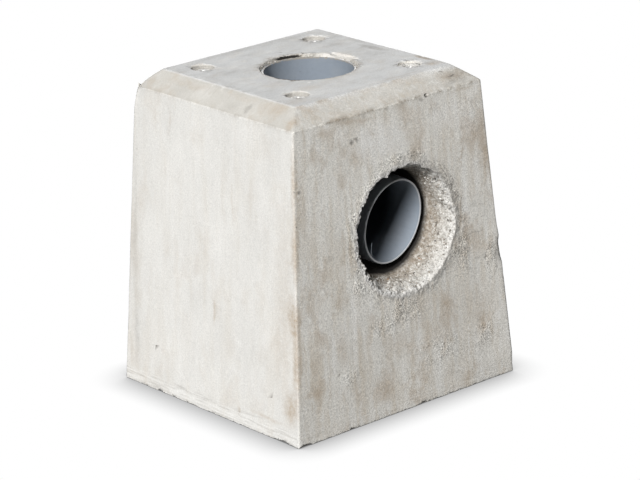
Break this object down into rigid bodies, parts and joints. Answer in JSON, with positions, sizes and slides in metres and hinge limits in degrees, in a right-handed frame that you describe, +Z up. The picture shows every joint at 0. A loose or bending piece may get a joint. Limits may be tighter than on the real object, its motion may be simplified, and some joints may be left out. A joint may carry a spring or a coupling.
{
  "type": "concrete pier block",
  "caption": "Tapered concrete pier block with a chamfered top, a cast-in conduit bend from its top to one side, and threaded fixing sockets in the top face.",
  "frame": {"origin": "middle of the flat base, on the surface that the block stands on", "axes": "+Z up through the top face, -Y out of the side that the conduit opens in"},
  "size_m": [0.3558, 0.3408, 0.405],
  "materials": {
    "concrete": "form-cast, weathered, rough",
    "grey_plastic": "satin pipe plastic, dusty",
    "zinc_steel": "zinc plated, dull"
  },
  "bodies": {
    "root": {"pier_block": "concrete", "conduit_bend": "grey_plastic", "threaded_insert_1": "zinc_steel", "threaded_insert_2": "zinc_steel", "threaded_insert_3": "zinc_steel", "threaded_insert_4": "zinc_steel"}
  },
  "joints": []
}
